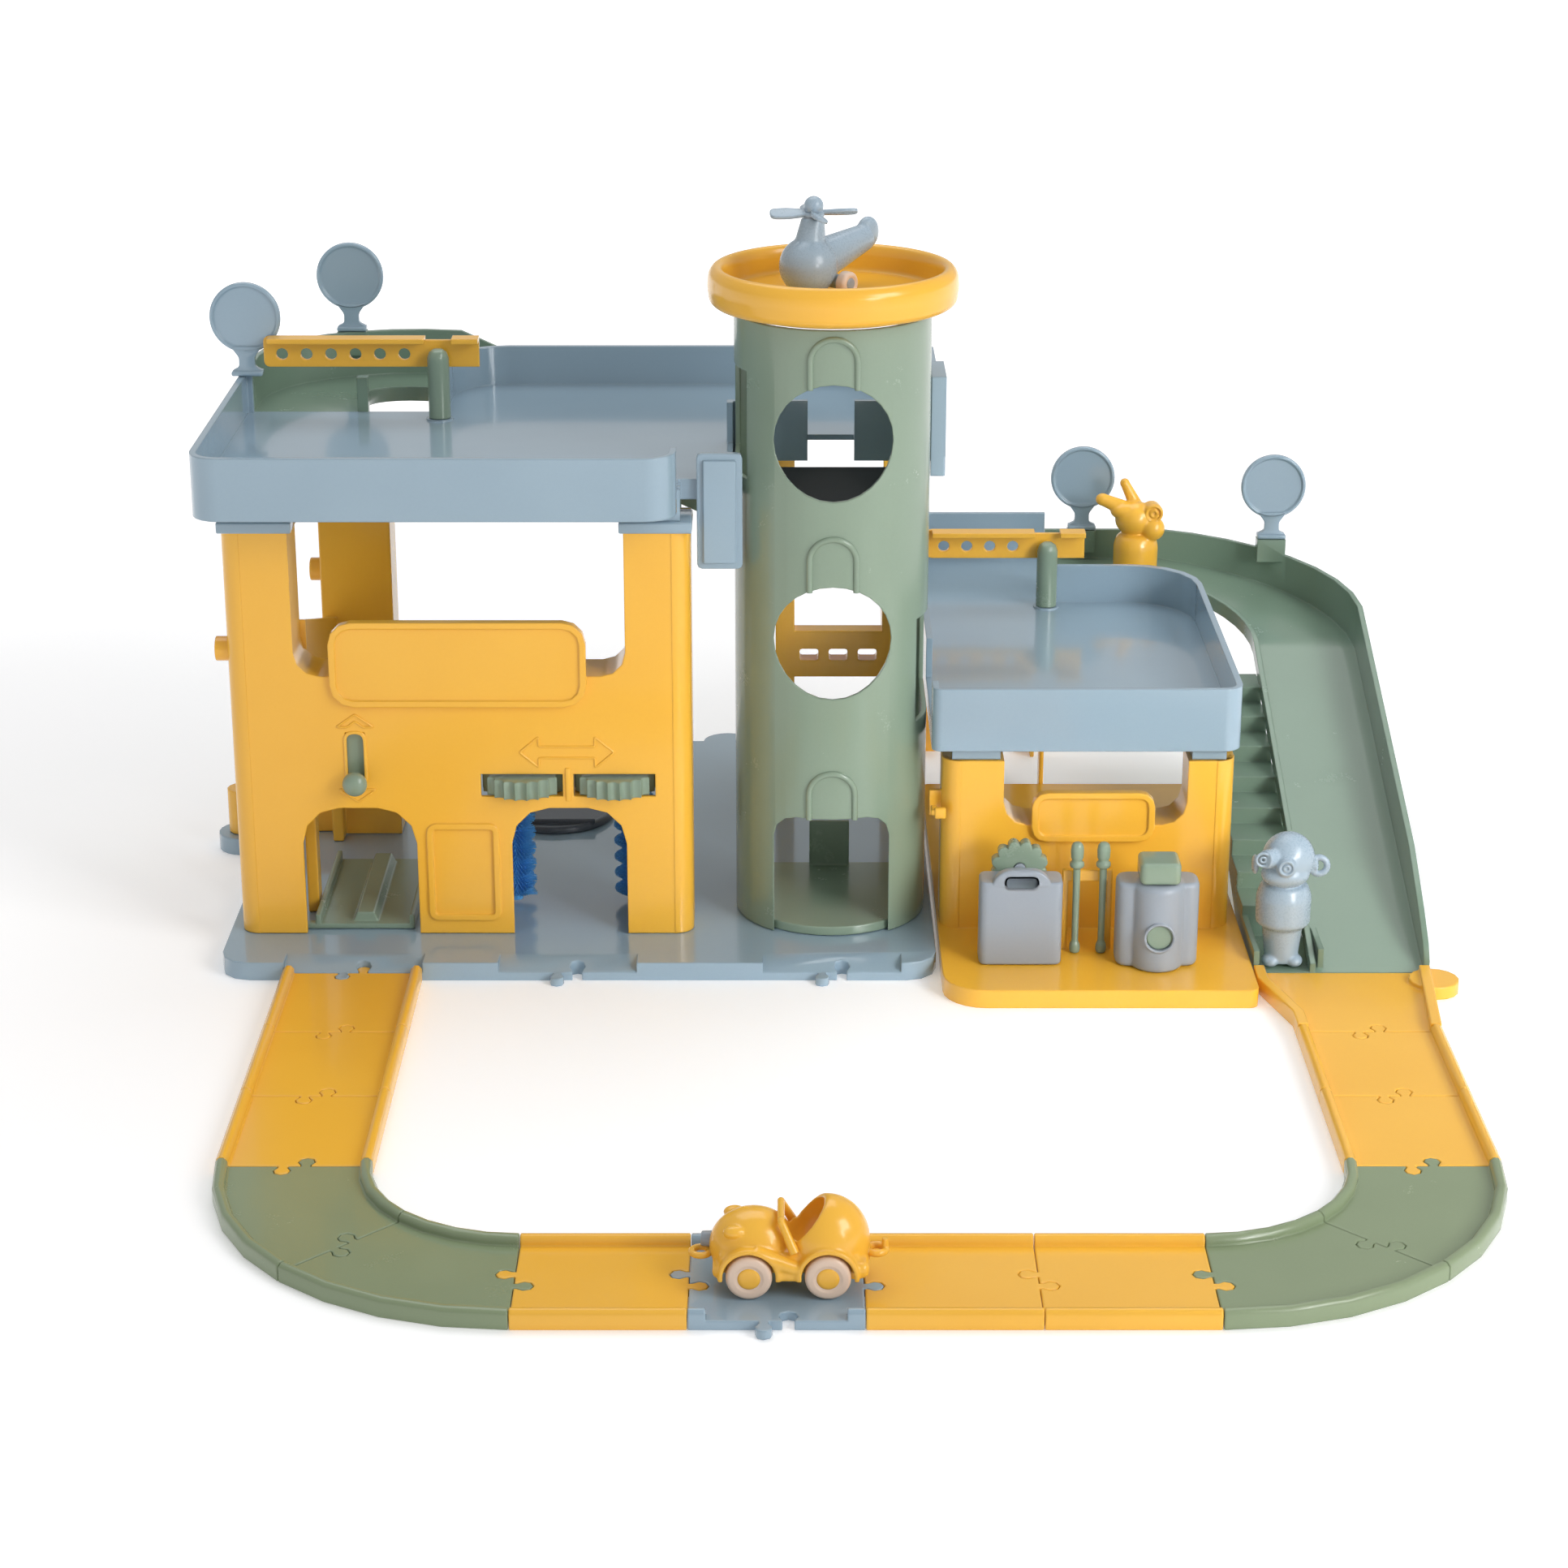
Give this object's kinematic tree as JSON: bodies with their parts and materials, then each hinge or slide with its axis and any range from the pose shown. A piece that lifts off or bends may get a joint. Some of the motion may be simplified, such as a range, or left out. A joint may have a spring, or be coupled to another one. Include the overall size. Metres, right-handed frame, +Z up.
{
  "type": "toy garage",
  "caption": "Toy parking garage with a lift tower, helipad, two decks, ramps, car wash, hoist, pump station and a loop of track with a car.",
  "frame": {"origin": "on the floor under the axis of the lift tower, on the base plate's underside", "axes": "+Z up; -Y towards the open loop of track at the front; +X towards the slide ramp on the right"},
  "size_m": [0.6765, 0.7513, 0.3967],
  "materials": {
    "yellow": "smooth moulded plastic",
    "blue": "smooth moulded plastic",
    "green": "smooth moulded plastic",
    "grey": "smooth moulded plastic",
    "cream": "smooth moulded plastic",
    "bristle_blue": "smooth moulded plastic",
    "dark": "smooth moulded plastic"
  },
  "bodies": {
    "garage": {"base_plate": "blue", "left_front_wall": "yellow", "left_side_frame": "yellow", "rear_frame": "yellow", "upper_deck": "blue", "deck_guard": "blue", "upper_ramp": "green", "tower_shell": "green", "helipad_ring": "yellow", "right_front_wall": "yellow", "lower_deck": "blue", "landing_frame": "yellow", "slide_ramp": "green", "fuel_can": "grey", "flask": "grey", "flask_cap": "green", "sign_1": "blue", "sign_2": "blue", "sign_3": "blue", "sign_4": "blue", "upper_post": "green", "lower_post": "green", "left_road_1": "yellow", "left_road_2": "yellow", "left_road_3": "yellow", "left_curve_1": "green", "left_curve_2": "green", "front_road_1": "yellow", "front_junction": "blue", "front_road_3": "yellow", "front_road_4": "yellow", "right_curve_1": "green", "right_curve_2": "green", "right_road_1": "yellow", "right_road_2": "yellow", "road_adapter": "yellow"},
    "lift": {"lift_platform": "green"},
    "hoist": {"hoist_platform": "green", "hoist_lever": "green"},
    "turntable": {"turntable": "dark"},
    "can_wheel": {"can_wheel": "green"},
    "upper_barrier": {"upper_arm": "yellow"},
    "lower_barrier": {"lower_arm": "yellow"},
    "wash_wheel_left": {"wash_wheel_left": "green"},
    "wash_wheel_right": {"wash_wheel_right": "green"},
    "wash_brush_left": {"wash_brush_left": "bristle_blue"},
    "wash_brush_right": {"wash_brush_right": "bristle_blue"},
    "helicopter": {"helicopter_body": "grey"},
    "helicopter_rotor": {"helicopter_rotor": "grey"},
    "helicopter_wheels": {"helicopter_wheels": "cream"},
    "tool_left": {"tool_left": "green"},
    "tool_right": {"tool_right": "green"},
    "car": {"car_body": "yellow"},
    "car_wheels_front": {"car_wheels_front": "cream"},
    "car_wheels_rear": {"car_wheels_rear": "cream"},
    "rabbit": {"rabbit_figure": "yellow"},
    "monkey": {"monkey_figure": "grey"}
  },
  "joints": [
    {"name": "lift_slide", "type": "slide", "parent": "garage", "child": "lift", "axis": [0, 0, 1], "range_m": [0, 0.2401]},
    {"name": "hoist_slide", "type": "slide", "parent": "garage", "child": "hoist", "axis": [0, 0, 1], "range_m": [0, 0.017]},
    {"name": "turntable_spin", "type": "hinge", "parent": "garage", "child": "turntable", "pos_m": [-0.158, 0.138, 0.0103], "axis": [0, 0, 1], "continuous": true},
    {"name": "can_wheel_spin", "type": "hinge", "parent": "garage", "child": "can_wheel", "pos_m": [0.098, -0.0687, 0.057], "axis": [0, 1, 0], "continuous": true},
    {"name": "upper_barrier_hinge", "type": "hinge", "parent": "garage", "child": "upper_barrier", "pos_m": [-0.214, 0.101, 0.2893], "axis": [0, 1, 0], "range_deg": [0, 80]},
    {"name": "lower_barrier_hinge", "type": "hinge", "parent": "garage", "child": "lower_barrier", "pos_m": [0.128, 0.1799, 0.1575], "axis": [0, 1, 0], "range_deg": [0, 80]},
    {"name": "wash_wheel_left_spin", "type": "hinge", "parent": "garage", "child": "wash_wheel_left", "pos_m": [-0.1628, -0.031, 0.0883], "axis": [0, 0, 1], "continuous": true},
    {"name": "wash_wheel_right_spin", "type": "hinge", "parent": "garage", "child": "wash_wheel_right", "pos_m": [-0.1142, -0.031, 0.0883], "axis": [0, 0, 1], "continuous": true},
    {"name": "wash_brush_left_spin", "type": "hinge", "parent": "garage", "child": "wash_brush_left", "pos_m": [-0.171, 0.002, 0.0883], "axis": [0, 0, 1], "continuous": true},
    {"name": "wash_brush_right_spin", "type": "hinge", "parent": "garage", "child": "wash_brush_right", "pos_m": [-0.106, 0.002, 0.0883], "axis": [0, 0, 1], "continuous": true},
    {"name": "helicopter_lift_off", "type": "slide", "parent": "garage", "child": "helicopter", "axis": [0, 0, 1], "range_m": [0, 0.05]},
    {"name": "helicopter_rotor_spin", "type": "hinge", "parent": "helicopter", "child": "helicopter_rotor", "pos_m": [-0.01002, -0.00203, 0.3863], "axis": [0, 0, 1], "continuous": true},
    {"name": "helicopter_wheels_spin", "type": "hinge", "parent": "helicopter", "child": "helicopter_wheels", "pos_m": [-0.00601, 0.00243, 0.3534], "axis": [0.7431, -0.6691, 0], "continuous": true},
    {"name": "tool_left_lift_off", "type": "slide", "parent": "garage", "child": "tool_left", "axis": [0, 0, 1], "range_m": [0, 0.05]},
    {"name": "tool_right_lift_off", "type": "slide", "parent": "garage", "child": "tool_right", "axis": [0, 0, 1], "range_m": [0, 0.05]},
    {"name": "car_drive", "type": "slide", "parent": "garage", "child": "car", "axis": [1, 0, 0], "range_m": [-0.06, 0.12]},
    {"name": "car_wheels_front_spin", "type": "hinge", "parent": "car", "child": "car_wheels_front", "pos_m": [-0.04, -0.419, 0.0147], "axis": [0, 1, 0], "continuous": true},
    {"name": "car_wheels_rear_spin", "type": "hinge", "parent": "car", "child": "car_wheels_rear", "pos_m": [-0.0064, -0.419, 0.0147], "axis": [0, 1, 0], "continuous": true},
    {"name": "rabbit_lift_off", "type": "slide", "parent": "garage", "child": "rabbit", "axis": [0, 0, 1], "range_m": [0, 0.06]},
    {"name": "monkey_lift_off", "type": "slide", "parent": "garage", "child": "monkey", "axis": [0, 0, 1], "range_m": [0, 0.06]}
  ],
  "couplings": [
    {"joint": "wash_brush_left_spin", "follows": "wash_wheel_left_spin", "ratio": -1.9298},
    {"joint": "wash_brush_right_spin", "follows": "wash_wheel_right_spin", "ratio": -1.9298}
  ]
}
